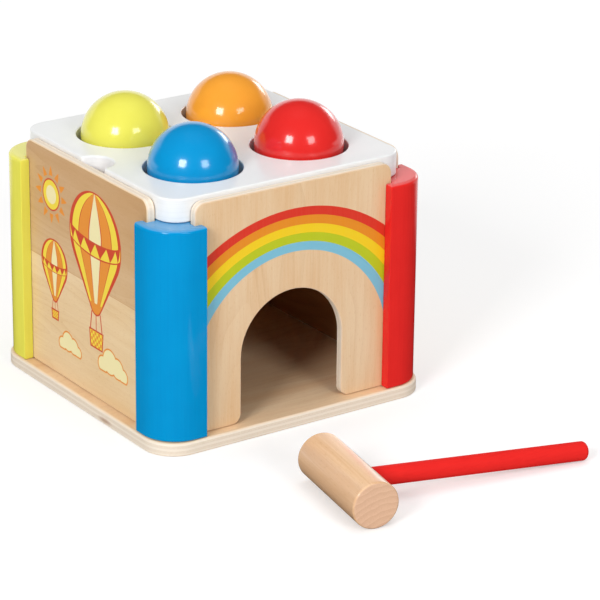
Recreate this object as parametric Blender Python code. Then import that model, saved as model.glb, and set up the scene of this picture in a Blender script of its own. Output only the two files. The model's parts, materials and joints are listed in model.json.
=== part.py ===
"""Ball pounding box: a wooden box with an arched doorway, a lift-off lid with four ball holes and a mallet.

The origin is at the centre of the base's underside. +Z is up, the arched front panel faces -Y and the
finger notch is in the lid's -X edge. All lengths are in metres.
"""
import math

import bmesh
import bpy
from mathutils import Matrix

# Driving dimensions of the box
BASE_HALF = 0.0800
BASE_THICK = 0.0066
BASE_CORNER = 0.0170
BASE_EDGE_ROUND = 0.0012
GAP = 0.0003
OVERSHOOT = 0.0020
PANEL_FACE = 0.0740
PANEL_THICK = 0.0045
PANEL_HALF_WIDTH = 0.0575
PANEL_TOP = 0.1254
PANEL_CORNER = 0.0055
PANEL_EDGE_ROUND = 0.0007
POST_FACE = 0.0793
POST_INNER = 0.0535
POST_TOP = 0.1152
POST_ROUND = 0.0185
POST_LIP_ROUND = 0.0015
POST_EDGE_ROUND = 0.0008
ARCH_CENTRE = -0.0010
ARCH_RADIUS = 0.0300
ARCH_SPRING = 0.0408
ARCH_FOOT_ROUND = 0.0050

# Driving dimensions of the lid and what hangs under it
LID_TOP = 0.1275
LID_CORNER = 0.0110
LID_EDGE_ROUND = 0.0009
HOLE_OFFSET = 0.03135
HOLE_RADIUS = 0.02465
NOTCH_RADIUS = 0.0105
NOTCH_LIP_ROUND = 0.0020
RING_EASE = 0.0004
RING_OUTER = 0.0280
RING_THICK = 0.0030
BOARD_THICK = 0.0048
BOARD_NOTCH_RADIUS = 0.0130
BOARD_SCREW_OFFSET = 0.0460

# Driving dimensions of the balls and the hammer
BALL_RADIUS = 0.0225
BALL_HEIGHTS = {"blue": 0.1270, "red": 0.1280, "yellow": 0.1262, "orange": 0.1258}
HEAD_RADIUS = 0.0118
HEAD_LENGTH = 0.0620
HEAD_EDGE_ROUND = 0.0012
HANDLE_RADIUS = 0.00475
HANDLE_REACH = 0.1276
HANDLE_SEAT = 0.0040
HANDLE_EDGE_ROUND = 0.0024
HAMMER_PLACE = (-0.0324, -0.1659)
HAMMER_TURN = math.radians(-10.26)

# Wood screws: head radius, head height, shank radius, length
BASE_SCREW = (0.0038, 0.0024, 0.0019, 0.0250)
BOARD_SCREW = (0.0034, 0.0021, 0.0016, 0.0115)
BASE_SCREW_OFFSET = 0.0635
SCREW_SINK = 0.0005
SCREW_RIM = 0.0004

# Sizes that follow from the driving ones
PANEL_BACK = PANEL_FACE - PANEL_THICK
FLOOR_TOP = BASE_THICK + GAP
LID_UNDERSIDE = POST_TOP + GAP
LID_HALF = PANEL_BACK - GAP
REBATE_RADIUS = RING_OUTER + GAP
BOARD_TOP = LID_UNDERSIDE - GAP
BOARD_UNDERSIDE = BOARD_TOP - BOARD_THICK
BOARD_NOTCH = POST_INNER - 2 * GAP
CORNERS = {
    "front_left": (-1, -1),
    "front_right": (1, -1),
    "rear_right": (1, 1),
    "rear_left": (-1, 1),
}
COLOURS = {
    "front_left": "blue",
    "front_right": "red",
    "rear_right": "orange",
    "rear_left": "yellow",
}

# Fineness of round shapes
CORNER_STEPS = 7
SMALL_STEPS = 4
HOLE_SEGMENTS = 40
HEAD_SEGMENTS = 36
HANDLE_SEGMENTS = 20
BALL_SEGMENTS = 32
SCREW_SEGMENTS = 12
SMOOTH_ANGLE = math.radians(35)


def linear(rgb):
    """Screen colour from 0 to 255 as the linear values a shader takes."""
    return tuple(((c / 255 + 0.055) / 1.055) ** 2.4 for c in rgb) + (1.0,)


def finish(name, rgb, roughness, metallic=0.0):
    """A Principled material in one colour."""
    material = bpy.data.materials.new(name)
    material.use_nodes = True
    shader = material.node_tree.nodes["Principled BSDF"]
    shader.inputs["Base Color"].default_value = linear(rgb)
    shader.inputs["Roughness"].default_value = roughness
    shader.inputs["Metallic"].default_value = metallic
    material.diffuse_color = linear(rgb)
    return material


def arc(centre, radius, start, end, steps):
    """Points on an arc from start to end, in degrees, both ends included."""
    angles = [math.radians(start + (end - start) * i / steps) for i in range(steps + 1)]
    return [(centre[0] + radius * math.cos(a), centre[1] + radius * math.sin(a)) for a in angles]


def add_object(name, bm, material, matrix=Matrix()):
    """A named object from a bmesh, shaded smooth with its sharp edges kept."""
    bmesh.ops.recalc_face_normals(bm, faces=bm.faces)
    mesh = bpy.data.meshes.new(name)
    bm.to_mesh(mesh)
    bm.free()
    mesh.shade_smooth()
    mesh.set_sharp_from_angle(angle=SMOOTH_ANGLE)
    if material:
        mesh.materials.append(material)
    obj = bpy.data.objects.new(name, mesh)
    bpy.context.scene.collection.objects.link(obj)
    obj.matrix_world = matrix
    return obj


def prism(name, outline, low, high, material, matrix=Matrix(), edge=0.0, edge_low=None):
    """An outline extruded along Z, with its top and bottom rims rounded by edge and edge_low."""
    bm = bmesh.new()
    face = bm.faces.new([bm.verts.new((x, y, low)) for x, y in outline])
    grown = bmesh.ops.extrude_face_region(bm, geom=[face])["geom"]
    top = [v for v in grown if isinstance(v, bmesh.types.BMVert)]
    bmesh.ops.translate(bm, verts=top, vec=(0, 0, high - low))
    if edge:
        weight = bm.edges.layers.float.new("bevel_weight_edge")
        low_share = 1.0 if edge_low is None else edge_low / edge
        for e in bm.edges:
            ends = {v in top for v in e.verts}
            if ends == {True}:
                e[weight] = 1.0
            if ends == {False}:
                e[weight] = low_share
    obj = add_object(name, bm, material, matrix)
    if edge:
        bevel = obj.modifiers.new("rim", "BEVEL")
        bevel.limit_method = "WEIGHT"
        bevel.width = edge
        bevel.segments = 2
    return obj


def turned(name, profile, segments, material, matrix=Matrix()):
    """A profile of (radius, height) points spun round Z. Points on the axis close its ends."""
    bm = bmesh.new()
    verts = [bm.verts.new((r, 0, z)) for r, z in profile]
    edges = [bm.edges.new(pair) for pair in zip(verts, verts[1:])]
    if profile[0][0] > 0:
        edges.append(bm.edges.new((verts[-1], verts[0])))
    bmesh.ops.spin(
        bm, geom=verts + edges, cent=(0, 0, 0), axis=(0, 0, 1), angle=2 * math.pi, steps=segments
    )
    bmesh.ops.remove_doubles(bm, verts=bm.verts, dist=1e-6)
    return add_object(name, bm, material, matrix)


def cut(target, *cutters):
    """Boolean cuts. The cutters stay in the file as hidden guides."""
    for cutter in cutters:
        cutter.hide_render = True
        cutter.display_type = "WIRE"
        modifier = target.modifiers.new(cutter.name, "BOOLEAN")
        modifier.operation = "DIFFERENCE"
        modifier.solver = "EXACT"
        modifier.object = cutter


def rounded_square(half, radius):
    """Outline of a square with round corners, counter-clockwise."""
    inner = half - radius
    starts = zip(((inner, inner), (-inner, inner), (-inner, -inner), (inner, -inner)), (0, 90, 180, 270))
    return [p for centre, start in starts for p in arc(centre, radius, start, start + 90, CORNER_STEPS)]


def edge_notch(half, radius, lip):
    """The half-round notch in the -X side of a square, from +Y to -Y, with rounded lips."""
    lip_y = math.sqrt((radius + lip) ** 2 - lip**2)
    swing = math.degrees(math.atan2(lip_y, lip))
    upper = arc((-half + lip, lip_y), lip, 180, 180 + swing, SMALL_STEPS)
    hollow = arc((-half, 0), radius, swing, -swing, 2 * CORNER_STEPS)
    lower = arc((-half + lip, -lip_y), lip, 180 - swing, 180, SMALL_STEPS)
    return upper + hollow[1:-1] + lower


def lid_outline():
    """Round-cornered square with the finger notch in its -X side."""
    square = rounded_square(LID_HALF, LID_CORNER)
    half_way = len(square) // 2
    return square[:half_way] + edge_notch(LID_HALF, NOTCH_RADIUS, NOTCH_LIP_ROUND) + square[half_way:]


def board_outline():
    """Square with its corners stepped in to clear the posts, and a wider notch under the finger notch."""
    out, step = LID_HALF, BOARD_NOTCH
    left = edge_notch(out, BOARD_NOTCH_RADIUS, NOTCH_LIP_ROUND)
    right_half = [(-step, -out), (step, -out), (step, -step), (out, -step), (out, step), (step, step)]
    left_half = [(step, out), (-step, out), (-step, step), (-out, step)]
    return right_half + left_half + left + [(-out, -step), (-step, -step)]


def post_outline():
    """Section of the rear right post: a quarter-round block with a panel groove in two of its sides."""
    inner, outer, lip = POST_INNER, POST_FACE, POST_LIP_ROUND
    groove_low, groove_high = PANEL_BACK - GAP, PANEL_FACE + GAP
    depth = PANEL_HALF_WIDTH + GAP
    centre = outer - POST_ROUND
    groove = [(groove_low, inner), (groove_low, depth), (groove_high, depth), (groove_high, inner)]
    lip_x = arc((outer - lip, inner + lip), lip, -90, 0, SMALL_STEPS)
    round_side = arc((centre, centre), POST_ROUND, 0, 90, CORNER_STEPS)
    mirrored = [(y, x) for x, y in reversed(groove + lip_x)]
    return [(inner, inner)] + groove + lip_x + round_side + mirrored


def panel_outline(arched):
    """Panel seen from outside, x across and y up. The arched one has a doorway between two rounded feet."""
    half, foot = PANEL_HALF_WIDTH, ARCH_FOOT_ROUND
    points = [(-half, FLOOR_TOP)]
    if arched:
        reach, foot_y = ARCH_RADIUS + foot, FLOOR_TOP + foot
        points += arc((ARCH_CENTRE - reach, foot_y), foot, 270, 360, SMALL_STEPS)
        points += arc((ARCH_CENTRE, ARCH_SPRING), ARCH_RADIUS, 180, 0, 3 * CORNER_STEPS)
        points += arc((ARCH_CENTRE + reach, foot_y), foot, 180, 270, SMALL_STEPS)
    points.append((half, FLOOR_TOP))
    corner_x, corner_y = half - PANEL_CORNER, PANEL_TOP - PANEL_CORNER
    points += arc((corner_x, corner_y), PANEL_CORNER, 0, 90, SMALL_STEPS)
    points += arc((-corner_x, corner_y), PANEL_CORNER, 90, 180, SMALL_STEPS)
    return points


def screw_profile(size, grow=0.0):
    """Countersunk screw pointing up from its flat head, made larger all round by grow."""
    head, head_height, shank, length = size
    tip = 1.6 * shank
    points = [
        (0, -grow),
        (head + grow, -grow),
        (head + grow, SCREW_RIM),
        (shank + grow, head_height + grow),
        (shank + grow, length - tip + grow),
        (SCREW_RIM + grow, length + grow),
        (0, length + grow),
    ]
    return points[::-1]


def screw(name, size, place, material, targets):
    """A wood screw driven upwards at place, in a hole with clearance in each target."""
    matrix = Matrix.Translation(place)
    turned(name, screw_profile(size), SCREW_SEGMENTS, material, matrix)
    hole = turned(f"{name}_hole", screw_profile(size, GAP), SCREW_SEGMENTS, None, matrix)
    mouth = turned(
        f"{name}_mouth",
        [(0, GAP), (size[0] + GAP, GAP), (size[0] + GAP, -OVERSHOOT), (0, -OVERSHOOT)],
        SCREW_SEGMENTS,
        None,
        matrix,
    )
    for target in targets:
        cut(target, hole)
    cut(targets[0], mouth)


def rounded_rod(radius, low, high, edge):
    """Profile of a round rod with rounded end edges, from top to bottom."""
    top = arc((radius - edge, high - edge), edge, 90, 0, SMALL_STEPS)
    bottom = arc((radius - edge, low + edge), edge, 0, -90, SMALL_STEPS)
    return [(0, high)] + top + bottom + [(0, low)]


def build_base(wood):
    """The base plate, its upper rim rounded more than its lower one."""
    outline = rounded_square(BASE_HALF, BASE_CORNER)
    return prism(
        "base_plate", outline, 0, BASE_THICK, wood, edge=BASE_EDGE_ROUND, edge_low=BASE_EDGE_ROUND / 2
    )


def build_posts(paints):
    """Four posts, one outline turned into each corner."""
    turns = {"rear_right": 0, "rear_left": 90, "front_left": 180, "front_right": 270}
    return {
        corner: prism(
            f"post_{corner}",
            post_outline(),
            FLOOR_TOP,
            POST_TOP,
            paints[COLOURS[corner]],
            Matrix.Rotation(math.radians(turn), 4, "Z"),
            edge=POST_EDGE_ROUND,
        )
        for corner, turn in turns.items()
    }


def build_panels(wood):
    """Four panels standing in the posts' grooves. Only the front one is arched."""
    turns = {"front": 0, "right": 90, "rear": 180, "left": 270}
    stand = Matrix.Translation((0, -PANEL_BACK, 0)) @ Matrix.Rotation(math.radians(90), 4, "X")
    for side, turn in turns.items():
        matrix = Matrix.Rotation(math.radians(turn), 4, "Z") @ stand
        outline = panel_outline(side == "front")
        prism(f"panel_{side}", outline, 0, PANEL_THICK, wood, matrix, edge=PANEL_EDGE_ROUND)


def build_lid(paint, wood):
    """The lid and the board below it, bored for the balls, with a rebate for each grip ring."""
    lid_matrix = Matrix.Translation((0, 0, LID_UNDERSIDE))
    lid_thick = LID_TOP - LID_UNDERSIDE
    lid = prism("lid_board", lid_outline(), 0, lid_thick, paint, lid_matrix, edge=LID_EDGE_ROUND)
    board_matrix = Matrix.Translation((0, 0, BOARD_UNDERSIDE))
    board = prism("ring_retainer_board", board_outline(), 0, BOARD_THICK, wood, board_matrix)
    ceiling = LID_UNDERSIDE + RING_THICK + GAP
    for corner, (x, y) in CORNERS.items():
        place = Matrix.Translation((x * HOLE_OFFSET, y * HOLE_OFFSET, 0))
        bore = turned(
            f"bore_{corner}",
            [
                (0, LID_TOP + OVERSHOOT),
                (HOLE_RADIUS, LID_TOP + OVERSHOOT),
                (HOLE_RADIUS, ceiling),
                (REBATE_RADIUS, ceiling),
                (REBATE_RADIUS, LID_UNDERSIDE - GAP / 2),
                (HOLE_RADIUS, LID_UNDERSIDE - GAP / 2),
                (HOLE_RADIUS, BOARD_UNDERSIDE - OVERSHOOT),
                (0, BOARD_UNDERSIDE - OVERSHOOT),
            ],
            HOLE_SEGMENTS,
            None,
            place,
        )
        cut(lid, bore)
        cut(board, bore)
    return lid, board


def build_rings(rubber):
    """Rubber grip rings. A ball that sits deeper opens its ring wider, so each ring fits its own ball."""
    low, high = LID_UNDERSIDE, LID_UNDERSIDE + RING_THICK
    lip = RING_THICK / 3
    for corner, (x, y) in CORNERS.items():
        height = BALL_HEIGHTS[COLOURS[corner]] - high
        inner = math.sqrt(BALL_RADIUS**2 - height**2) + RING_EASE
        outer_side = [(RING_OUTER, high), (RING_OUTER, low)]
        inner_side = [(inner + lip, low), (inner, low + lip), (inner, high)]
        place = Matrix.Translation((x * HOLE_OFFSET, y * HOLE_OFFSET, 0))
        turned(f"grip_ring_{corner}", outer_side + inner_side, HOLE_SEGMENTS, rubber, place)


def build_balls(paints):
    """Four balls, each half out of its hole."""
    for corner, colour in COLOURS.items():
        x, y = CORNERS[corner]
        bm = bmesh.new()
        bmesh.ops.create_uvsphere(
            bm, u_segments=BALL_SEGMENTS, v_segments=BALL_SEGMENTS // 2, radius=BALL_RADIUS
        )
        place = Matrix.Translation((x * HOLE_OFFSET, y * HOLE_OFFSET, BALL_HEIGHTS[colour]))
        add_object(f"ball_{colour}", bm, paints[colour], place)


def build_hammer(wood, paint):
    """The mallet lying in front of the box, rolled until the end of its handle touches the floor."""
    tilt = math.asin((HEAD_RADIUS - HANDLE_RADIUS) / (HANDLE_REACH - HANDLE_EDGE_ROUND))
    pose = bpy.data.objects.new("hammer_pose", None)
    bpy.context.scene.collection.objects.link(pose)
    pose.location = (*HAMMER_PLACE, HEAD_RADIUS)
    pose.rotation_euler = (0, tilt, HAMMER_TURN)
    along_y = Matrix.Rotation(math.radians(-90), 4, "X")
    along_x = Matrix.Rotation(math.radians(90), 4, "Y")
    half = HEAD_LENGTH / 2
    head = turned(
        "hammer_head", rounded_rod(HEAD_RADIUS, -half, half, HEAD_EDGE_ROUND), HEAD_SEGMENTS, wood, along_y
    )
    handle_profile = rounded_rod(HANDLE_RADIUS, -HANDLE_SEAT, HANDLE_REACH, HANDLE_EDGE_ROUND)
    handle = turned("hammer_handle", handle_profile, HANDLE_SEGMENTS, paint, along_x)
    bore_radius = HANDLE_RADIUS + GAP
    bore_end = -HANDLE_SEAT - GAP
    bore_profile = [(0, half), (bore_radius, half), (bore_radius, bore_end), (0, bore_end)]
    bore = turned("handle_bore", bore_profile, HANDLE_SEGMENTS, None, along_x)
    cut(head, bore)
    for piece in (head, handle, bore):
        piece.parent = pose


def build_screws(steel, base, posts, lid, board):
    """Base screws up into the posts, and board screws up into the lid."""
    for corner, (x, y) in CORNERS.items():
        place = (x * BASE_SCREW_OFFSET, y * BASE_SCREW_OFFSET, SCREW_SINK)
        screw(f"base_screw_{corner}", BASE_SCREW, place, steel, (base, posts[corner]))
    sides = {"centre": (0, 0), "front": (0, -1), "rear": (0, 1), "left": (-1, 0), "right": (1, 0)}
    for side, (x, y) in sides.items():
        place = (x * BOARD_SCREW_OFFSET, y * BOARD_SCREW_OFFSET, BOARD_UNDERSIDE + SCREW_SINK)
        screw(f"retainer_screw_{side}", BOARD_SCREW, place, steel, (board, lid))


def main():
    for obj in list(bpy.data.objects):
        bpy.data.objects.remove(obj, do_unlink=True)
    plywood = finish("plywood", (226, 198, 160), 0.5)
    beech = finish("beech", (224, 182, 138), 0.45)
    white = finish("white_paint", (238, 240, 240), 0.35)
    rubber = finish("rubber", (40, 38, 36), 0.7)
    steel = finish("zinc_plated_steel", (190, 188, 180), 0.35, 1.0)
    paints = {
        "blue": finish("blue_paint", (0, 145, 215), 0.25),
        "red": finish("red_paint", (230, 45, 45), 0.25),
        "yellow": finish("yellow_paint", (232, 226, 70), 0.25),
        "orange": finish("orange_paint", (246, 160, 50), 0.25),
    }
    base = build_base(plywood)
    posts = build_posts(paints)
    build_panels(plywood)
    lid, board = build_lid(white, plywood)
    build_rings(rubber)
    build_balls(paints)
    build_hammer(beech, paints["red"])
    build_screws(steel, base, posts, lid, board)


main()
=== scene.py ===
"""Looks of the ball pounding box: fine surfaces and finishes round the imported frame, a studio and a camera.

Lengths are in metres. +Z is up, the arched front faces -Y and the lid's finger notch is on the -X side.
"""
import json
import math

import bmesh
import bpy
import numpy as np
from mathutils import Matrix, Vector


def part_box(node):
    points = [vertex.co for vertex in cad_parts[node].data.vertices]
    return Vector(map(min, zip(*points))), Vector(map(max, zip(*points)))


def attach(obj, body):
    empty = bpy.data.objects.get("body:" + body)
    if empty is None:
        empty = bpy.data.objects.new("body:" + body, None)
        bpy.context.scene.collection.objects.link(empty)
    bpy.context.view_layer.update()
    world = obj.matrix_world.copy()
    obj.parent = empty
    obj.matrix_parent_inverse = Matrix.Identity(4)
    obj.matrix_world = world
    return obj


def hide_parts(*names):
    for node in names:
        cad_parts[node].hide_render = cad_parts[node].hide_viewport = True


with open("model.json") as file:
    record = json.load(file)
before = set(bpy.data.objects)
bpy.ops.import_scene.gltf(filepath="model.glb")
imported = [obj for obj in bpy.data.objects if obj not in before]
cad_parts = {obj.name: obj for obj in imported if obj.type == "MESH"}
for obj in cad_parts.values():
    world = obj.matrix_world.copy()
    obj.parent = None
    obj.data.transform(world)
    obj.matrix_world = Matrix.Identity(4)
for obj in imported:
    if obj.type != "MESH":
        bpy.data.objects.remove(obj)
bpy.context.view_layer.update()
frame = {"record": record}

RECORD = frame["record"]
BODY_OF = {node: body for body, nodes in RECORD["behaviour"]["bodies"].items() for node in nodes}


def low(node):
    """Lowest corner of a CAD node."""
    return [float(value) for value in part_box(node)[0]]


def high(node):
    """Highest corner of a CAD node."""
    return [float(value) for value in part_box(node)[1]]


def middle(node):
    """Centre of a CAD node's box."""
    return [(a + b) / 2 for a, b in zip(low(node), high(node))]


# Sizes that the frame gives
BASE_HALF = high("base_plate")[0]
BASE_TOP = high("base_plate")[2]
PANEL_HALF = high("panel_front")[0]
PANEL_FOOT = low("panel_front")[2]
PANEL_TOP = high("panel_front")[2]
PANEL_FACE = -low("panel_front")[1]
PANEL_BACK = -high("panel_front")[1]
POST_INNER = low("post_rear_right")[0]
POST_FACE = high("post_rear_right")[0]
POST_FOOT = low("post_rear_right")[2]
POST_TOP = high("post_rear_right")[2]
LID_HALF = high("lid_board")[0]
LID_TOP = high("lid_board")[2]
LID_UNDERSIDE = low("lid_board")[2]
BOARD_TOP = high("ring_retainer_board")[2]
BOARD_UNDERSIDE = low("ring_retainer_board")[2]
RING_LOW = low("grip_ring_front_left")[2]
RING_HIGH = high("grip_ring_front_left")[2]
HOLE_OFFSET = middle("grip_ring_rear_right")[0]
RING_OUTER = high("grip_ring_rear_right")[0] - HOLE_OFFSET
BALL_RADIUS = (high("ball_blue")[0] - low("ball_blue")[0]) / 2
HAMMER_PLACE = np.array(middle("hammer_head"))
HEAD_RADIUS = HAMMER_PLACE[2]

# Sizes that the boxes don't give
BASE_CORNER = 0.0170
BASE_RIM = 0.0013
BASE_FOOT_RIM = 0.0006
PANEL_CORNER = 0.0055
PANEL_RIM = 0.0006
ARCH_CENTRE = -0.0010
ARCH_RADIUS = 0.0300
ARCH_SPRING = 0.0408
ARCH_FOOT_ROUND = 0.0050
POST_ROUND = 0.0185
POST_LIP_BACK = 0.0005
POST_LIP_ROUND = 0.0005
POST_LIP_LEAST = 0.0001
POST_RIM = 0.0018
POST_FOOT_RIM = 0.0008
POST_EASE = 0.4
GROOVE_GAP = 0.0003
LID_CORNER = 0.0110
LID_RIM = 0.0008
LID_FOOT_RIM = 0.0006
HOLE_RADIUS = 0.02465
HOLE_FLARE = 0.0007
NOTCH_RADIUS = 0.0105
NOTCH_FOOT_RADIUS = 0.0077
NOTCH_LIP = 0.0014
REBATE_RADIUS = RING_OUTER + GROOVE_GAP
REBATE_TOP = RING_HIGH + GROOVE_GAP
REBATE_RIM = 0.0003
BOARD_STEP = POST_INNER - 2 * GROOVE_GAP
BOARD_NOTCH_RADIUS = 0.0130
BOARD_RIM = 0.0003
RING_EASE = 0.0004
RING_LIP = 0.0010
RING_ROUND = 0.0003
BALL_FLAT = 0.00012
HEAD_LENGTH = 0.0620
HEAD_RIM = 0.0012
HANDLE_RADIUS = 0.00475
HANDLE_REACH = 0.1276
HANDLE_SEAT = 0.0040
HANDLE_RIM = 0.0024
HAMMER_TURN = math.radians(-10.26)
HAMMER_TILT = math.asin((HEAD_RADIUS - HANDLE_RADIUS) / (HANDLE_REACH - HANDLE_RIM))
BASE_SCREW = {"head": 0.0038, "cone": 0.0024, "shank": 0.0019, "length": 0.0250}
BOARD_SCREW = {"head": 0.0034, "cone": 0.0021, "shank": 0.0016, "length": 0.0115}
SCREW_RIM = 0.0004
SCREW_CLEARANCE = 0.0003
THREAD_PITCH = 0.0013
THREAD_DEPTH = 0.00045

# A screw's recess in shares of its head and cone, and its tip in shanks
RECESS_HALF_WIDTH = 0.16
RECESS_EDGE = 0.05
RECESS_REACH = 0.55
RECESS_END = 0.10
RECESS_DEPTH = 0.45
SCREW_TIP = 1.6
SCREW_TIP_TAPER = 0.8

CORNERS = {"front_left": (-1, -1), "front_right": (1, -1), "rear_right": (1, 1), "rear_left": (-1, 1)}
COLOUR_AT = {"front_left": "blue", "front_right": "red", "rear_right": "orange", "rear_left": "yellow"}
CORNER_TURN = {"rear_right": 0, "rear_left": 90, "front_left": 180, "front_right": 270}
PANEL_TURN = {"front": 0, "right": 90, "rear": 180, "left": 270}
BOARD_SCREW_SIDES = ("centre", "front", "rear", "left", "right")

# Fineness of round shapes
CORNER_STEPS = 14
RIM_STEPS = 6
SIDE_STEPS = 52
AXIS_STEPS = 32
ARCH_STEPS = 56
BALL_STEPS = 128
ROD_STEPS = 96
SCREW_STEPS = 64
RECESS_RINGS = 28
CONE_ROWS = 6
THREAD_ROWS = 8
TIP_ROWS = 5
BRIDGE_ROWS = 4
END_GRAIN_ROWS = 5
MARGIN = 0.00035
WELD = 1e-6
SHARP_ANGLE = math.radians(38)

X_AXIS, Y_AXIS, Z_AXIS = range(3)


class Skin:
    """A mesh in the making: grids of points and closing faces, each with the number of its finish."""

    def __init__(self):
        self.points = []
        self.faces = []
        self.finishes = []
        self.count = 0

    def add(self, points, faces, finish):
        """Takes in points, and faces that count them from 0."""
        self.points.append(points.reshape(-1, 3))
        self.faces += (faces + self.count).tolist()
        self.finishes += [finish] * len(faces)
        self.count += points.size // 3

    def grid(self, points, finish=0, round_trip=False):
        """Four-sided faces between neighbouring rows and columns. A round trip joins the last column and the
        first."""
        rows, columns = points.shape[:2]
        index = np.arange(rows * columns).reshape(rows, columns)
        if round_trip:
            index = np.concatenate([index, index[:, :1]], axis=1)
        faces = np.stack([index[:-1, :-1], index[:-1, 1:], index[1:, 1:], index[1:, :-1]], axis=-1)
        self.add(points, faces.reshape(-1, 4), finish)

    def cap(self, loop, finish):
        """One flat face over a closed loop of points."""
        self.add(loop, np.arange(len(loop))[None], finish)

    def mesh(self, name, finishes):
        """The welded mesh, its faces turned outwards, smooth except at true corners."""
        mesh = bpy.data.meshes.new(name)
        mesh.from_pydata(np.concatenate(self.points), [], self.faces)
        mesh.polygons.foreach_set("material_index", self.finishes)
        bm = bmesh.new()
        bm.from_mesh(mesh)
        bmesh.ops.remove_doubles(bm, verts=bm.verts, dist=WELD)
        bmesh.ops.recalc_face_normals(bm, faces=bm.faces)
        bm.to_mesh(mesh)
        bm.free()
        for finish in finishes:
            mesh.materials.append(finish)
        shade(mesh)
        return mesh


def shade(mesh):
    """Smooth shading, with corners sharper than the sharp angle kept."""
    mesh.shade_smooth()
    mesh.set_sharp_from_angle(angle=SHARP_ANGLE)


def show(name, data):
    """An object at the origin for a mesh whose place is in its points, or for a lamp or camera."""
    obj = bpy.data.objects.new(name, data)
    bpy.context.scene.collection.objects.link(obj)
    return obj


def dress(node, skin, *finishes):
    """The finished piece that stands for a CAD node, on that node's body."""
    piece = show(f"{node}_finished", skin.mesh(f"{node}_finished", finishes))
    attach(piece, BODY_OF[node])
    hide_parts(node)
    return piece


def bore(piece, cutter):
    """Cuts a skin's closed shapes out of a piece."""
    tool = show("cutter", cutter.mesh("cutter", []))
    modifier = piece.modifiers.new("bore", "BOOLEAN")
    modifier.solver = "EXACT"
    modifier.object = tool
    ready = piece.evaluated_get(bpy.context.evaluated_depsgraph_get())
    mesh = bpy.data.meshes.new_from_object(ready)
    piece.modifiers.remove(modifier)
    piece.data = mesh
    bpy.data.objects.remove(tool)
    shade(mesh)


# Outlines and profiles
def arc(centre, radius, start, end, steps):
    """The centre plus radius times (cosine, sine) of evenly spaced angles from start to end, in degrees."""
    angle = np.radians(np.linspace(start, end, steps + 1))
    return np.stack([centre[0] + radius * np.cos(angle), centre[1] + radius * np.sin(angle)], axis=1)


def run(start, end, steps):
    """Evenly spaced points between two ends, the ends left out."""
    share = np.linspace(0, 1, steps + 1)[1:-1, None]
    return (1 - share) * np.array(start) + share * np.array(end)


def rotated(across, up, turn):
    """A flat vector turned by an angle: its two coordinates, mixed by cosine and sine."""
    sine, cosine = math.sin(turn), math.cos(turn)
    return across * cosine - up * sine, across * sine + up * cosine


def quarter_turned(outline, quarters):
    """An outline turned about the origin by a number of right angles."""
    return np.stack(rotated(*outline.T, math.pi / 2 * quarters), axis=1)


def rounded_square(half, radius):
    """Four corner arcs with a straight run after each, counter-clockwise from the +X side."""
    inner = half - radius
    corner = arc((inner, inner), radius, 0, 90, CORNER_STEPS)
    side = run((inner, half), (-inner, half), SIDE_STEPS)
    return np.concatenate([quarter_turned(np.concatenate([corner, side]), k) for k in range(4)])


def edge_notch(half, radius, lip):
    """A half-round notch in the -X side, from +Y to -Y: its arc meets a lip arc at each end, at the same
    slope."""
    lip_y = math.sqrt((radius + lip) ** 2 - lip**2)
    swing = math.degrees(math.atan2(lip_y, lip))
    upper = arc((-half + lip, lip_y), lip, 180, 180 + swing, CORNER_STEPS // 2)
    hollow = arc((-half, 0), radius, swing, -swing, 2 * CORNER_STEPS)
    lower = arc((-half + lip, -lip_y), lip, 180 - swing, 180, CORNER_STEPS // 2)
    return np.concatenate([upper, hollow[1:-1], lower])


def lid_outline(notch_radius):
    """A rounded square whose -X side runs round the finger notch."""
    square = rounded_square(LID_HALF, LID_CORNER)
    notch = edge_notch(LID_HALF, notch_radius, NOTCH_LIP)
    steps = SIDE_STEPS // 2
    upper = run((-LID_HALF, LID_HALF - LID_CORNER), notch[0], steps)
    lower = run(notch[-1], (-LID_HALF, LID_CORNER - LID_HALF), steps)
    quarter = CORNER_STEPS + SIDE_STEPS
    before = square[: quarter + CORNER_STEPS + 1]
    after = square[2 * quarter:]
    return np.concatenate([before, upper, notch, lower, after])


def board_outline():
    """A square stepped in at its corners to clear the posts, with a wide notch under the finger notch."""
    out, step = LID_HALF, BOARD_STEP
    right = [(-step, -out), (step, -out), (step, -step), (out, -step), (out, step), (step, step)]
    left = [(step, out), (-step, out), (-step, step), (-out, step)]
    notch = edge_notch(out, BOARD_NOTCH_RADIUS, NOTCH_LIP)
    return np.concatenate([right, left, notch, [(-out, -step), (-step, -step)]])


def post_outline(inset):
    """The rear right post's section: a quarter-round block with a panel groove in two sides. Its outside is
    moved in by an inset, and the edges of its grooves by a share of it."""
    ease = POST_EASE * inset
    inner, outer = POST_INNER + ease, POST_FACE - inset
    near, far = PANEL_BACK - GROOVE_GAP - ease, PANEL_FACE + GROOVE_GAP + ease
    depth = PANEL_HALF + GROOVE_GAP + ease
    lip_end, lip = inner + POST_LIP_BACK, max(POST_LIP_ROUND - inset, POST_LIP_LEAST)
    centre = POST_FACE - POST_ROUND
    groove = [(near, inner), (near, depth), (far, depth), (far, lip_end)]
    lip_side = arc((outer - lip, lip_end + lip), lip, -90, 0, RIM_STEPS)
    round_side = arc((centre, centre), POST_ROUND - inset, 0, 90, 3 * CORNER_STEPS)
    first_half = np.concatenate([groove, lip_side])
    return np.concatenate([[(inner, inner)], first_half, round_side, first_half[::-1, ::-1]])


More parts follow.
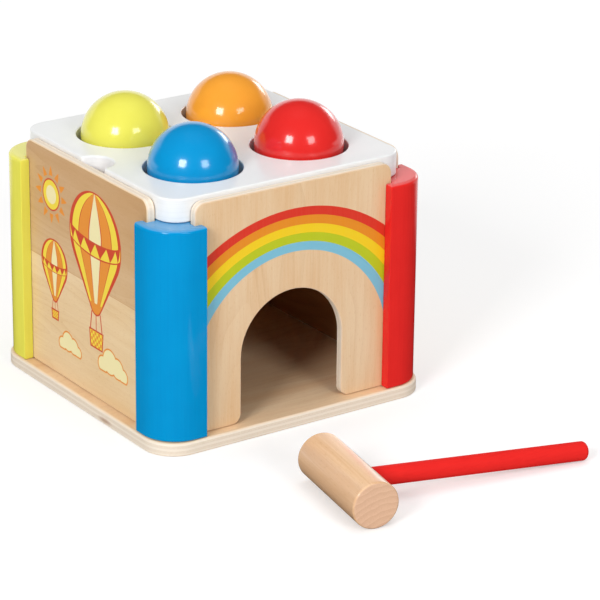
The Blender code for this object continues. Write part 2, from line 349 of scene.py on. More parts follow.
def panel_outline(arched):
    """A panel seen from outside, across and up. The arched one has a doorway between two rounded feet."""
    parts = [[(-PANEL_HALF, PANEL_FOOT)]]
    if arched:
        reach, foot_y = ARCH_RADIUS + ARCH_FOOT_ROUND, PANEL_FOOT + ARCH_FOOT_ROUND
        parts.append(arc((ARCH_CENTRE - reach, foot_y), ARCH_FOOT_ROUND, 270, 360, CORNER_STEPS))
        parts.append(arc((ARCH_CENTRE, ARCH_SPRING), ARCH_RADIUS, 180, 0, ARCH_STEPS))
        parts.append(arc((ARCH_CENTRE + reach, foot_y), ARCH_FOOT_ROUND, 180, 270, CORNER_STEPS))
    parts.append([(PANEL_HALF, PANEL_FOOT)])
    corner_x, corner_y = PANEL_HALF - PANEL_CORNER, PANEL_TOP - PANEL_CORNER
    parts.append(arc((corner_x, corner_y), PANEL_CORNER, 0, 90, CORNER_STEPS))
    parts.append(arc((-corner_x, corner_y), PANEL_CORNER, 90, 180, CORNER_STEPS))
    return np.concatenate(parts)


def quarter_round(radius):
    """How far a rim is from each of its two sides: the radius times what sine and cosine fall short of 1,
    over a quarter turn."""
    turn = np.radians(np.linspace(0, 90, RIM_STEPS + 1))
    return radius * (1 - np.sin(turn)), radius * (1 - np.cos(turn))


def rim_profile(foot, top, foot_round, top_round):
    """(inset, height) rows up a wall: margin, quarter round, wall between margins, quarter round, margin."""
    foot_in, foot_up = quarter_round(foot_round)
    top_down, top_in = quarter_round(top_round)
    wall = [foot + foot_round + MARGIN, top - top_round - MARGIN]
    inset = np.concatenate([[foot_round + MARGIN], foot_in, [0, 0], top_in, [top_round + MARGIN]])
    height = np.concatenate([[foot], foot + foot_up, wall, top - top_down, [top]])
    return np.stack([inset, height], axis=1)


def rod_profile(radius, foot, top, rim):
    """(radius, height) rows of a rod with rounded end edges, both ends closed on the axis."""
    rows = rim_profile(foot, top, rim, rim)
    radii = np.concatenate([[0], radius - rows[:, 0], [0]])
    heights = np.concatenate([[foot], rows[:, 1], [top]])
    return np.stack([radii, heights], axis=1)


# Ways to place a piece
def turn_about_z(points, degrees):
    """Points turned about the Z axis."""
    x, y, z = np.moveaxis(points, -1, 0)
    return np.stack([*rotated(x, y, math.radians(degrees)), z], axis=-1)


def stand_panel(points, degrees):
    """Stands a panel up with its thickness towards -Y, then turns it to its side of the box."""
    across, up, thick = np.moveaxis(points, -1, 0)
    return turn_about_z(np.stack([across, -PANEL_BACK - thick, up], axis=-1), degrees)


def lay_hammer(points):
    """Tilts the hammer about its head's axis, turns it on the floor and moves it to its place."""
    x, y, z = np.moveaxis(points, -1, 0)
    tilted_z, tilted_x = rotated(z, x, HAMMER_TILT)
    tilted = np.stack([tilted_x, y, tilted_z], axis=-1)
    return turn_about_z(tilted, math.degrees(HAMMER_TURN)) + HAMMER_PLACE


def shift(place):
    """A placing that moves points by a vector."""
    return lambda points: points + np.array(place)


# Surfaces
def at_heights(outlines, profile):
    """Flat outlines, each lifted to the height of its row of a rim profile."""
    level = np.broadcast_to(profile[:, 1:, None], outlines.shape[:2] + (1,))
    return np.concatenate([outlines, level], axis=-1)


def spun(radius, angle, height):
    """Points about the Z axis: radius times (cosine, sine) of the angle, at the height."""
    return np.stack([radius * np.cos(angle), radius * np.sin(angle), height + 0 * angle], axis=-1)


def wall_rows(outline, profile):
    """A closed outline, or one for each row, carried along a rim profile. Each row is the outline moved in by
    the row's inset, at its height; a corner moves along the sum of its two sides' normals over one plus their
    dot product."""
    side = np.roll(outline, -1, axis=-2) - outline
    normal = np.stack([side[..., 1], -side[..., 0]], axis=-1) / np.linalg.norm(side, axis=-1, keepdims=True)
    before = np.roll(normal, 1, axis=-2)
    mitre = (normal + before) / (1 + np.sum(normal * before, axis=-1, keepdims=True))
    return at_heights(outline - profile[:, :1, None] * mitre, profile)


def closed_wall(skin, rows, face=0, edge=0, back=0):
    """Rows of a wall, closed by two flat faces that take in the margins."""
    skin.grid(rows[:2], back, True)
    skin.grid(rows[1:-1], edge, True)
    skin.grid(rows[-2:], face, True)
    skin.cap(rows[0], back)
    skin.cap(rows[-1], face)


def prism(skin, outline, profile, **finishes):
    """An outline carried up a rim profile and closed."""
    closed_wall(skin, wall_rows(outline, profile), **finishes)


def turned(skin, profile, steps, place, finish=0):
    """(radius, height) rows spun round the Z axis, then placed."""
    angle = np.linspace(0, 2 * math.pi, steps, endpoint=False)
    skin.grid(place(spun(profile[:, :1], angle, profile[:, 1:])), finish, True)


def quarter_edge(loop, sign):
    """The part of a closed loop in one quarter of the board, carried on along both axes to the centre."""
    inside = (loop * sign > -WELD).all(axis=1)
    first = np.flatnonzero(inside & ~np.roll(inside, 1))[0]
    part = np.roll(loop, -first, axis=0)[: inside.sum()]
    inward = run(part[-1], (0, 0), AXIS_STEPS)
    outward = run((0, 0), part[0], AXIS_STEPS)
    return np.concatenate([part, inward, [(0, 0)], outward])


def flat_bridge(skin, ring, edge, level):
    """Straight lines from each point of a hole's ring to the matching point of the board's edge."""
    rim = np.concatenate([edge, np.full((len(edge), 1), level)], axis=1)
    share = np.linspace(0, 1, BRIDGE_ROWS)[:, None, None]
    skin.grid((1 - share) * ring + share * rim, 0, True)


def bored_quarter(skin, centre, top_edge, low_edge, profile):
    """A quarter of a board round one hole: (radius, height) rows spun about the hole's centre, at the angles
    in which the board's edge points are seen from there, then flat bridges to those points above and
    below."""
    def seen_from_centre(edge):
        """Angles of the edge's points about the hole."""
        return np.unwrap(np.arctan2(edge[:, 1] - centre[1], edge[:, 0] - centre[0]))

    share = np.linspace(0, 1, len(profile))[:, None]
    angle = (1 - share) * seen_from_centre(low_edge) + share * seen_from_centre(top_edge)
    wall = spun(profile[:, :1], angle, profile[:, 1:]) + np.array([*centre, 0])
    skin.grid(wall, 0, True)
    flat_bridge(skin, wall[0], low_edge, profile[0, 1])
    flat_bridge(skin, wall[-1], top_edge, profile[-1, 1])


def hole_profile():
    """(radius, height) rows up a ball hole: rebate for the grip ring, ceiling, wall and flared mouth."""
    foot_out, foot_up = quarter_round(REBATE_RIM)
    mouth_down, mouth_out = quarter_round(HOLE_FLARE)
    radius = np.concatenate([
        [REBATE_RADIUS + REBATE_RIM + MARGIN], REBATE_RADIUS + foot_out, [REBATE_RADIUS, HOLE_RADIUS],
        HOLE_RADIUS + mouth_out, [HOLE_RADIUS + HOLE_FLARE + MARGIN],
    ])
    height = np.concatenate([
        [LID_UNDERSIDE], LID_UNDERSIDE + foot_up, [REBATE_TOP, REBATE_TOP], LID_TOP - mouth_down, [LID_TOP],
    ])
    return np.stack([radius, height], axis=1)


def screw_skin(size, place):
    """A countersunk wood screw pointing up. The head's rings dip into a cross recess, whose depth is a
    function of ring and angle, and the shank's radius is a sawtooth of height less turns, which makes the
    thread."""
    head, cone, shank, length = size["head"], size["cone"], size["shank"], size["length"]
    angle = np.linspace(0, 2 * math.pi, SCREW_STEPS, endpoint=False)
    level = 0 * angle
    ring = head * np.linspace(0, 1, RECESS_RINGS)[:, None]
    arm = np.abs(np.stack([ring * np.cos(angle), ring * np.sin(angle)]))
    narrow = np.clip((RECESS_HALF_WIDTH * head - arm.min(axis=0)) / (RECESS_EDGE * head) + 0.5, 0, 1)
    short = np.clip((RECESS_REACH * head - arm.max(axis=0)) / (RECESS_END * head), 0, 1)
    recess = RECESS_DEPTH * cone * narrow * short ** 0.5
    slope = np.linspace(0, 1, CONE_ROWS)[:, None]
    tip = SCREW_TIP * shank
    turns = int((length - tip - cone) / THREAD_PITCH)
    rise = np.linspace(cone, length - tip, THREAD_ROWS * turns)[:, None]
    wave = (rise / THREAD_PITCH - angle / (2 * math.pi)) % 1
    run_in = np.clip((rise - cone) / THREAD_PITCH, 0, 1)
    thread = shank - THREAD_DEPTH * run_in * np.abs(2 * wave - 1)
    point = np.linspace(0, 1, TIP_ROWS)[1:, None]
    point_radius = thread[-1:] * (1 - point) ** SCREW_TIP_TAPER
    radius = np.concatenate([ring + level, head + (shank - head) * slope + level, thread, point_radius])
    cone_height = SCREW_RIM + (cone - SCREW_RIM) * slope
    tip_height = length - tip + tip * point
    height = np.concatenate([recess, cone_height + level, rise + level, tip_height + level])
    skin = Skin()
    skin.grid(spun(radius, angle, height) + np.array(place), 0, True)
    return skin


def screw_hole(skin, size, place):
    """The closed countersink that a screw's head sits in, open downwards."""
    head, cone = size["head"] + SCREW_CLEARANCE, size["cone"]
    shank = size["shank"] + SCREW_CLEARANCE
    deep = size["length"] + SCREW_CLEARANCE
    rows = np.array([(0, -cone), (head, -cone), (head, SCREW_RIM), (shank, cone), (shank, deep), (0, deep)])
    turned(skin, rows, SCREW_STEPS, shift(place))


def fit_screws(holes, nodes, size, steel):
    """A screw for each node, and its countersink among the holes to be cut."""
    for node in nodes:
        place = middle(node)[:2] + [low(node)[2]]
        screw_hole(holes, size, place)
        dress(node, screw_skin(size, place), steel)


# Finishes
def ink(red, green, blue):
    """A screen colour from 0 to 255 as the linear colour that a shader takes."""
    share = np.array([red, green, blue]) / 255
    linear = np.where(share <= 0.04045, share / 12.92, ((share + 0.055) / 1.055) ** 2.4)
    return (*linear.tolist(), 1.0)


def grey(level):
    """A linear grey."""
    return (level, level, level, 1.0)


class Field:
    """A node's output. Arithmetic on fields and numbers adds Math nodes to the recipe that they belong to."""

    def __init__(self, recipe, socket):
        self.recipe = recipe
        self.socket = socket

    def math(self, operation, *others, clamp=False):
        """The result of a Math node on this field and others."""
        settings = {"operation": operation, "use_clamp": clamp}
        return self.recipe.node("ShaderNodeMath", settings, dict(enumerate((self, *others))))

    def __add__(self, other):
        return self.math("ADD", other)

    def __sub__(self, other):
        return self.math("SUBTRACT", other)

    def __mul__(self, other):
        return self.math("MULTIPLY", other)

    def __truediv__(self, other):
        return self.math("DIVIDE", other)

    def __pow__(self, other):
        return self.math("POWER", other)

    def __rsub__(self, other):
        return self.math("MULTIPLY_ADD", -1.0, other)

    def __abs__(self):
        return self.math("ABSOLUTE")

    __radd__ = __add__
    __rmul__ = __mul__

    def lesser(self, other):
        """The smaller of two values."""
        return self.math("MINIMUM", other)

    def greater(self, other):
        """The larger of two values."""
        return self.math("MAXIMUM", other)

    def cycle(self):
        """0 to 1 over and over, once in each whole number."""
        return self.math("FRACT")

    def zigzag(self):
        """1 down to 0 and up to 1 again in each whole number."""
        return abs(self.cycle() - 0.5) * 2

    def above(self, limit, soft):
        """0 below a limit and 1 above it, over a step of the given softness."""
        return self.math("MULTIPLY_ADD", 1 / soft, 0.5 - limit / soft, clamp=True)

    def below(self, limit, soft):
        """1 below a limit and 0 above it, over a step of the given softness."""
        return self.math("MULTIPLY_ADD", -1 / soft, 0.5 + limit / soft, clamp=True)


class Recipe:
    """A node tree that is written as expressions."""

    def __init__(self, tree):
        self.tree = tree

    def node(self, kind, settings=None, inputs=None, output=0):
        """Adds a node: its settings first, then the value or the link of each socket."""
        made = self.tree.nodes.new(kind)
        for name, value in (settings or {}).items():
            setattr(made, name, value)
        for name, value in (inputs or {}).items():
            self.feed(made.inputs[name], value)
        return Field(self, made.outputs[output])

    def feed(self, socket, value):
        """Gives a socket a link where the value is a field, or else the value itself."""
        if isinstance(value, Field):
            self.tree.links.new(value.socket, socket)
        else:
            socket.default_value = value

    def mix(self, share, first, second, blend="MIX"):
        """A colour between two colours."""
        settings = {"data_type": "RGBA", "blend_type": blend, "clamp_factor": True}
        return self.node("ShaderNodeMix", settings, {0: share, 6: first, 7: second}, 2)


def flat_length(across, up):
    """Length of a flat vector of two fields."""
    return (across * across + up * up) ** 0.5


class Finish(Recipe):
    """A material on the piece's own coordinates. Sockets that are the same all over are set at the start."""

    def __init__(self, name, sockets, place=None):
        self.material = bpy.data.materials.new(name)
        self.material.use_nodes = True
        super().__init__(self.material.node_tree)
        self.shader = self.tree.nodes["Principled BSDF"]
        for socket, value in sockets.items():
            self.shader.inputs[socket].default_value = value
        self.place = self.node("ShaderNodeTexCoord", output="Object")
        if place:
            settings = {"vector_type": "TEXTURE"}
            self.place = self.node("ShaderNodeMapping", settings, {"Vector": self.place, **place})
        split = self.node("ShaderNodeSeparateXYZ", None, {"Vector": self.place})
        self.axes = [Field(self, output) for output in split.socket.node.outputs]

    def noise(self, size, detail=2.0, roughness=0.5, drift=0.0, place=None):
        """Soft noise from 0 to 1 whose patches are about a size long, or (x, y, z) where it is a tuple."""
        lengths = size if isinstance(size, tuple) else (size,) * 3
        scale = tuple(1 / length for length in lengths)
        inputs = {"Vector": place or self.place, "Scale": scale, "Location": (drift,) * 3}
        spot = self.node("ShaderNodeMapping", None, inputs)
        inputs = {"Vector": spot, "Scale": 1.0, "Detail": detail, "Roughness": roughness}
        return self.node("ShaderNodeTexNoise", {"noise_dimensions": "3D"}, inputs)

    def finish(self, colour, roughness, height=None, strength=0.1, depth=0.0002):
        """Feeds the shader and returns the material."""
        self.feed(self.shader.inputs["Base Color"], colour)
        self.feed(self.shader.inputs["Roughness"], roughness)
        if height:
            inputs = {"Strength": strength, "Distance": depth, "Height": height}
            self.feed(self.shader.inputs["Normal"], self.node("ShaderNodeBump", None, inputs))
        return self.material


def along(grain, across, length):
    """Patch size for noise that is stretched along one axis."""
    return tuple(length if axis == grain else across for axis in range(3))


CLEAR_LACQUER = {"Coat Weight": 0.10, "Coat Roughness": 0.30, "Specular IOR Level": 0.30}
FRONT_TONES = {"pale": ink(233, 205, 168), "warm": ink(223, 182, 135), "dark": ink(202, 156, 106)}
SIDE_TONES = {"pale": ink(241, 214, 172), "warm": ink(231, 197, 148), "dark": ink(210, 164, 112)}
FLOOR_TONES = {"pale": ink(246, 216, 178), "warm": ink(236, 196, 152), "dark": ink(208, 162, 116)}
# Darker tones for the panels' inner faces: painted shade for the dim inside of the box
SHADED_INNER_TONES = {"pale": ink(192, 136, 86), "warm": ink(176, 118, 68), "dark": ink(150, 95, 52)}
WANDER = 0.009
RING_COUNT = 18
RING_SHARE = 0.26
DASH_SHARE = 0.25
BARE_RELIEF = 0.12
PRINT_RELIEF = 0.10
EDGE_RELIEF = 0.15


def wandering(wood, grain, drift):
    """Coordinates in which straight lines along the grain wander a little to either side."""
    sway = (wood.noise(along(grain, 0.035, 0.11), drift=drift) - 0.5) * WANDER
    axes = {axis: field if axis == grain else field + sway for axis, field in enumerate(wood.axes)}
    return wood.node("ShaderNodeCombineXYZ", None, axes)


def veneer_grain(wood, grain, tones, drift=0.0):
    """Colour, fineness and height of lacquered veneer whose fibres run along one axis. Broad bands shift
    between a pale and a warm tone, growth rings are level lines of a smooth hill, and fibres and flecks lie
    over both."""
    place = wandering(wood, grain, drift)
    bands = wood.noise(along(grain, 0.012, 0.11), 3.0, 0.55, drift, place)
    hill = wood.noise(along(grain, 0.030, 0.26), 1.0, 0.4, drift + 9, place)
    patches = wood.noise(along(grain, 0.022, 0.07), 1.0, drift=drift + 4)
    fibres = wood.noise(along(grain, 0.0008, 0.030), 3.0, 0.6, drift, place)
    flecks = wood.noise(along(grain, 0.0005, 0.0026), 1.0, drift=drift)
    ring = (hill * RING_COUNT).cycle() ** 3 * patches.above(0.5, 0.3)
    dash = flecks.above(0.66, 0.12)
    colour = wood.mix((bands + fibres * 0.35).above(0.68, 0.42), tones["warm"], tones["pale"])
    colour = wood.mix(ring * RING_SHARE + dash * DASH_SHARE, colour, tones["dark"])
    return colour, fibres, fibres * 0.5 - dash * 0.7


def veneer(name, grain, tones, drift):
    """Bare veneer under clear lacquer."""
    wood = Finish(name, CLEAR_LACQUER)
    colour, fibres, height = veneer_grain(wood, grain, tones, drift)
    return wood.finish(colour, fibres * 0.14 + 0.40, height, BARE_RELIEF)


def printed(wood, colour, bare, fibres, height):
    """Finishes a print, through which the veneer's dark fibres show a little."""
    shaded = wood.mix(fibres.below(0.5, 0.4) * INK_THIN, colour, bare)
    return wood.finish(shaded, fibres * 0.14 + 0.38, height, PRINT_RELIEF)


RAINBOW_CENTRE = -0.0014
RAINBOW_RADIUS = 0.0895
RAINBOW_STEP = 0.0064
RAINBOW_RISE = 0.0231
RAINBOW_RISE_STEP = 0.00194
RAINBOW = [ink(220, 46, 26), ink(231, 140, 20), ink(243, 206, 14), ink(187, 200, 18), ink(122, 190, 214)]
INK_SOFT = 0.00016
INK_THIN = 0.03
MILLIMETRES = 1000
LINE_WIDTH = 0.8


def rainbow_veneer():
    """Veneer with a printed rainbow: each band lies inside one circle and outside the next, and runs straight
    down below the circle's centre."""
    wood = Finish("rainbow_veneer", CLEAR_LACQUER)
    bare, fibres, height = veneer_grain(wood, Z_AXIS, FRONT_TONES)
    x, _, z = wood.axes
    colour = bare
    for band, tone in enumerate(RAINBOW + [bare]):
        radius = RAINBOW_RADIUS - RAINBOW_STEP * band
        level = RAINBOW_RISE + RAINBOW_RISE_STEP * band
        inside = flat_length(x - RAINBOW_CENTRE, (z - level).greater(0.0)).below(radius, INK_SOFT)
        colour = wood.mix(inside, colour, tone)
    return printed(wood, colour, bare, fibres, height)


class Picture:
    """Flat shapes printed one over another on a finish. A shape is a field of signed distances in
    millimetres."""

    def __init__(self, wood, ground, across, up):
        self.wood = wood
        self.colour = ground
        self.across = across * MILLIMETRES
        self.up = up * MILLIMETRES

    def local(self, centre, size):
        """Coordinates about a centre, in units of a size."""
        return (self.across - centre[0]) / size, (self.up - centre[1]) / size

    def lay(self, shape, tone):
        """Prints the inside of a shape."""
        self.colour = self.wood.mix(shape.below(0, INK_SOFT * MILLIMETRES), self.colour, tone)

    def draw(self, shape, tone):
        """Prints a line along the edge of a shape."""
        self.lay(abs(shape) - LINE_WIDTH / 2, tone)


YELLOW_INK = ink(246, 220, 70)
ORANGE_INK = ink(236, 148, 52)
CREAM_INK = ink(245, 233, 178)
RED_INK = ink(211, 70, 42)
# A balloon's parts, in units of its envelope's largest radius and downwards from the centre of that circle
BALLOON_MOUTH = 0.20
BALLOON_DROP = 1.45
BALLOON_LEAN = math.tan(math.asin((1 - BALLOON_MOUTH) / BALLOON_DROP))
GORES = ((1.14, YELLOW_INK), (0.70, ORANGE_INK), (0.25, CREAM_INK))
SEAM_HALF = 0.016
ROPE_LEVEL, ROPE_REACH = 1.82, 0.22
ROPE_SLOPE, ROPE_START, ROPE_HALF, MIDDLE_ROPE_HALF = 0.16, 0.09, 0.018, 0.014
BASKET_LEVEL, BASKET_REACH = 2.20, 0.19
BASKET_TAPER, BASKET_HALF = 0.10, 0.47
WEAVE_COUNT = 7
BAND_SAG, BAND_HALF = 0.24, 0.15
PENNANT_COUNT, PENNANT_DROP = 2.2, 0.28
SKIRT_LEVEL = 1.40


def print_balloon(picture, centre, size):
    """A striped balloon with a basket. Its envelope is the hull of a large and a small circle: the distance
    to the one of the circles between them that the point slides to. Stripes follow the arc sine of the share
    of the envelope's half width, as on a ball."""
    across, up = picture.local(centre, size)
    down = up * -1
    side = abs(across)
    slide = (down - side * BALLOON_LEAN).math("DIVIDE", BALLOON_DROP, clamp=True)
    edge = flat_length(across, down - slide * BALLOON_DROP) - 1 + slide * (1 - BALLOON_MOUTH)
    share = (side / (side - edge)).lesser(1.0)
    turn = share.math("ARCSINE")

    def inside(shape, tone):
        """Prints the part of a shape that lies on the envelope."""
        picture.lay(edge.greater(shape) * size, tone)

    rope_span = abs(down - ROPE_LEVEL) - ROPE_REACH
    outer_ropes = abs(side - down * ROPE_SLOPE + ROPE_START) - ROPE_HALF
    for rope in (outer_ropes, side - MIDDLE_ROPE_HALF):
        picture.lay(rope.greater(rope_span) * size, RED_INK)
    basket = (side + down * BASKET_TAPER - BASKET_HALF).greater(abs(down - BASKET_LEVEL) - BASKET_REACH)
    weave = ((across * WEAVE_COUNT + 0.25).zigzag() - 0.5) * ((down * WEAVE_COUNT).zigzag() - 0.5)
    picture.lay(basket * size, YELLOW_INK)
    picture.lay(basket.greater(weave) * size, ORANGE_INK)
    picture.draw(basket * size, RED_INK)
    picture.lay(edge * size, RED_INK)
    for limit, tone in GORES:
        inside(turn - limit, tone)
        inside(abs(turn - limit) - SEAM_HALF, RED_INK)
    level = down - (1 - share * share) ** 0.5 * BAND_SAG
    points = (turn * PENNANT_COUNT + 0.5).zigzag() * PENNANT_DROP
    inside(abs(level) - BAND_HALF, YELLOW_INK)
    inside((level - points + PENNANT_DROP / 2).greater(level * -1 - BAND_HALF), RED_INK)
    inside(abs(abs(level) - BAND_HALF) - SEAM_HALF, RED_INK)
    inside(SKIRT_LEVEL - down, ORANGE_INK)
    picture.draw(edge * size, RED_INK)


SUN_RAYS = 12
RAY_START, RAY_MIDDLE, RAY_LENGTH = 1.26, 1.28, 0.62
SUN_HEART = 0.60


def print_sun(picture, centre, size):
    """A disc with a paler heart and pointed rays, whose reach is a zigzag of the angle."""
    across, up = picture.local(centre, size)
    reach = flat_length(across, up)
    ray = (up.math("ARCTAN2", across) * (SUN_RAYS / (2 * math.pi))).zigzag() * 1.5 - 0.5
    picture.lay((reach - ray * RAY_LENGTH - RAY_MIDDLE).greater(RAY_START - reach) * size, ORANGE_INK)
    picture.lay((reach - 1) * size, YELLOW_INK)
    picture.lay((reach - SUN_HEART) * size, CREAM_INK)
    picture.draw((reach - 1) * size, RED_INK)


CLOUD_PUFFS = ((-0.95, 0.02, 0.48), (-0.25, 0.36, 0.70), (0.52, 0.22, 0.58), (1.08, -0.02, 0.42))
CLOUD_FOOT = 0.34
FAR_OUTSIDE = 9


def print_cloud(picture, centre, size):
    """Overlapping round puffs, cut level at the bottom."""
    across, up = picture.local(centre, size)
    shape = across * 0 + FAR_OUTSIDE
    for puff_across, puff_up, radius in CLOUD_PUFFS:
        shape = shape.lesser(flat_length(across - puff_across, up - puff_up) - radius)
    shape = shape.greater(up * -1 - CLOUD_FOOT) * size
    picture.lay(shape, CREAM_INK)
    picture.draw(shape, ORANGE_INK)


# What is printed on the left panel, from the back to the front, with its centre and size in millimetres
SKY = (
    (print_sun, (-33, 102), 8.0),
    (print_cloud, (24, 27), 9.5),
    (print_balloon, (-31, 66), 12.5),
    (print_balloon, (9, 91), 24.0),
    (print_cloud, (-17, 25), 7.5),
)
STRIP_JOINT = 0.0660
STRIP_TINT = (0.74, 0.625, 0.545, 1.0)
STRIP_FADE_MIDDLE = 0.0560
STRIP_FADE = 0.10
STRIP_SHIFT = 0.07
STRIP_SEAM_HALF = 0.00022
STRIP_SEAM_SHARE = 0.45


def balloon_veneer():
    """Veneer of the left panel under a print of balloons in the sky: two strips, of which the upper one is
    darker, most so at its top."""
    wood = Finish("balloon_veneer", CLEAR_LACQUER)
    _, y, z = wood.axes
    upper = z.above(STRIP_JOINT, INK_SOFT)
    wood.axes[X_AXIS] = wood.axes[X_AXIS] + upper * STRIP_SHIFT
    bare, fibres, height = veneer_grain(wood, Y_AXIS, SIDE_TONES, 3.0)
    bare = wood.mix(upper * z.above(STRIP_FADE_MIDDLE, STRIP_FADE), bare, STRIP_TINT, "MULTIPLY")
    seam = abs(z - STRIP_JOINT).below(STRIP_SEAM_HALF, INK_SOFT)
    bare = wood.mix(seam * STRIP_SEAM_SHARE, bare, SIDE_TONES["dark"], "MULTIPLY")
    picture = Picture(wood, bare, y * -1, z)
    for print_figure, centre, size in SKY:
        print_figure(picture, centre, size)
    return printed(wood, picture.colour, bare, fibres, height - seam)


PLY_TONES = {"pale": ink(241, 228, 211), "cross": ink(234, 219, 199), "glue": ink(196, 174, 148)}
PLY_WOBBLE = 0.45
KNOT_TONE = ink(172, 128, 96)
KNOT_SIZE = (0.0064, 0.0013)
KNOT_SHARE = 0.7
RIM_SHARE = 0.7


def ply_edge(name, axis, start, end, plies, face, glue_share, knot=None):
    """Edge of plywood: layers across its thickness that turn from long fibre to end grain by turns, with thin
    glue lines between them. Its outer rims take the face's colour and, where a place is given, it has a small
    knot."""
    wood = Finish(name, CLEAR_LACQUER)
    wobble = wood.noise(0.018) - 0.5
    layer = (wood.axes[axis] - start) / ((end - start) / plies) + wobble * PLY_WOBBLE
    cross = (layer * 0.5).cycle().above(0.5, 0.10)
    glue = abs(layer.cycle() - 0.5).above(0.46, 0.06)
    fibre = wood.noise(along(axis, 0.012, 0.0004))
    speckle = wood.noise(0.0006)
    colour = wood.mix(cross, PLY_TONES["pale"], PLY_TONES["cross"])
    colour = wood.mix(cross * speckle.above(0.55, 0.25) * 0.2 + glue * glue_share, colour, PLY_TONES["glue"])
    colour = wood.mix(fibre.above(0.56, 0.3) * 0.20, colour, PLY_TONES["cross"])
    rim = abs(layer - plies / 2).above(plies / 2 - 0.3, 0.6)
    colour = wood.mix(rim * RIM_SHARE, colour, face)
    if knot:
        _, y, z = wood.axes
        reach = flat_length((y - knot[0]) / KNOT_SIZE[0], (z - knot[1]) / KNOT_SIZE[1])
        mark = (reach + (speckle - 0.5) * 0.9).below(0.75, 0.9)
        colour = wood.mix(mark * KNOT_SHARE, colour, KNOT_TONE)
    return wood.finish(colour, speckle * 0.2 + 0.42, speckle * 0.4 - glue * 0.6 + cross * 0.2, EDGE_RELIEF)


BALL_GLOSS = {"Coat Weight": 1.0, "Coat Roughness": 0.13, "Specular IOR Level": 0.10}
POST_GLOSS = {"Coat Weight": 1.0, "Coat Roughness": 0.14, "Coat IOR": 1.35, "Specular IOR Level": 0.0}
HANDLE_GLOSS = {"Coat Weight": 0.1, "Coat Roughness": 0.30, "Specular IOR Level": 0.0}
# Share of white mixed into the posts' tops: a painted sheen that stands in for the reflection there
TOP_PAINTED_SHEEN = 0.11
TOP_SOFT = 0.0006
COVER_SHARE = 0.35
GRAIN_SHARE = 0.22
LACQUER_RELIEF = 0.05


def lacquer(name, colour, deep, sockets, grain=None, painted_sheen_from=None):
    """Coloured lacquer on wood: slightly uneven cover, orange peel, and grain that shows faintly through.
    Above a given height it is mixed towards white: a painted sheen for the bright reflection on the posts'
    tops."""
    paint = Finish(name, sockets)
    cover = paint.noise(0.016, 3.0)
    height = paint.noise(0.0014)
    deeper = cover.above(0.55, 0.5) * COVER_SHARE
    if grain is not None:
        lines = paint.noise(along(grain, 0.0009, 0.04))
        deeper = deeper + lines.above(0.58, 0.2) * GRAIN_SHARE
        height = height + lines * 0.8
    tone = paint.mix(deeper, colour, deep)
    if painted_sheen_from is not None:
        # Painted sheen: the top is lightened towards white where the backdrop's reflection would lie
        tone = paint.mix(paint.axes[Z_AXIS].above(painted_sheen_from, TOP_SOFT) * TOP_PAINTED_SHEEN, tone, grey(1.0))
    return paint.finish(tone, cover * 0.12 + 0.26, height, LACQUER_RELIEF)


WHITE_SATIN = {"Coat Weight": 0.25, "Coat Roughness": 0.16, "Specular IOR Level": 0.4}
WHITE_TONES = {"clean": ink(241, 242, 242), "dull": ink(234, 236, 237), "line": ink(224, 226, 226)}


def white_lacquer():
    """Satin white lacquer over a board whose layers show faintly on its edges."""
    paint = Finish("white_lacquer", WHITE_SATIN)
    cover = paint.noise(0.02, 3.0)
    layers = paint.noise((0.05, 0.05, 0.0007))
    brush = paint.noise((0.0008, 0.03, 0.05))
    peel = paint.noise(0.0012)
    tone = paint.mix(cover.above(0.5, 0.5) * 0.5, WHITE_TONES["clean"], WHITE_TONES["dull"])
    tone = paint.mix(layers.above(0.6, 0.2) * 0.25, tone, WHITE_TONES["line"])
    return paint.finish(tone, cover * 0.10 + 0.26, peel + layers * 1.2 + brush * 0.4, LACQUER_RELIEF)


BEECH_LACQUER = {"Coat Weight": 1.0, "Coat Roughness": 0.24, "Specular IOR Level": 0.1}
BEECH_TONES = {"pale": ink(235, 197, 159), "mid": ink(229, 188, 148), "dark": ink(217, 171, 129)}
BEECH_FLECK = ink(194, 142, 96)
END_TONES = {"early": ink(224, 184, 152), "late": ink(214, 171, 140), "pore": ink(198, 152, 122)}
HEART = (0.010, -0.030)
RING_SPACING = 0.0031
RING_BEND = 0.0026


def beech_place():
    """Coordinates of the hammer's own frame: handle along X and head along Y."""
    return {"Location": tuple(HAMMER_PLACE), "Rotation": (0, HAMMER_TILT, HAMMER_TURN)}


def beech_side():
    """Turned side of the beech head: fine lines and short dark flecks along it."""
    wood = Finish("beech_side", BEECH_LACQUER, beech_place())
    bands = wood.noise(along(Y_AXIS, 0.007, 0.20))
    lines = wood.noise(along(Y_AXIS, 0.0011, 0.05), 3.0)
    flecks = wood.noise(along(Y_AXIS, 0.00045, 0.0028), 1.0)
    tone = bands + lines * 0.8
    colour = wood.mix(tone.above(0.85, 0.6), BEECH_TONES["dark"], BEECH_TONES["mid"])
    colour = wood.mix(tone.above(1.10, 0.4), colour, BEECH_TONES["pale"])
    dashes = flecks.above(0.66, 0.10)
    colour = wood.mix(dashes * 0.25, colour, BEECH_FLECK)
    return wood.finish(colour, lines * 0.12 + 0.34, lines * 0.4 - dashes * 0.6, BARE_RELIEF)


def beech_end():
    """End grain of the head: growth rings about a heart outside the disc, and pores."""
    wood = Finish("beech_end", {"Specular IOR Level": 0.30}, beech_place())
    x, _, z = wood.axes
    bend = wood.noise(0.006) - 0.5
    reach = flat_length(x - HEART[0], z - HEART[1]) + bend * RING_BEND
    ring = (reach * (1 / RING_SPACING)).cycle()
    pores = wood.noise(0.0004)
    colour = wood.mix(ring.above(0.5, 0.9), END_TONES["early"], END_TONES["late"])
    colour = wood.mix(pores.above(0.58, 0.2) * 0.3, colour, END_TONES["pore"])
    return wood.finish(colour, pores * 0.1 + 0.5, pores, EDGE_RELIEF)


RUBBER_TONES = ink(30, 28, 27), ink(58, 55, 53)
ZINC_TONES = ink(196, 194, 188), ink(172, 166, 150)


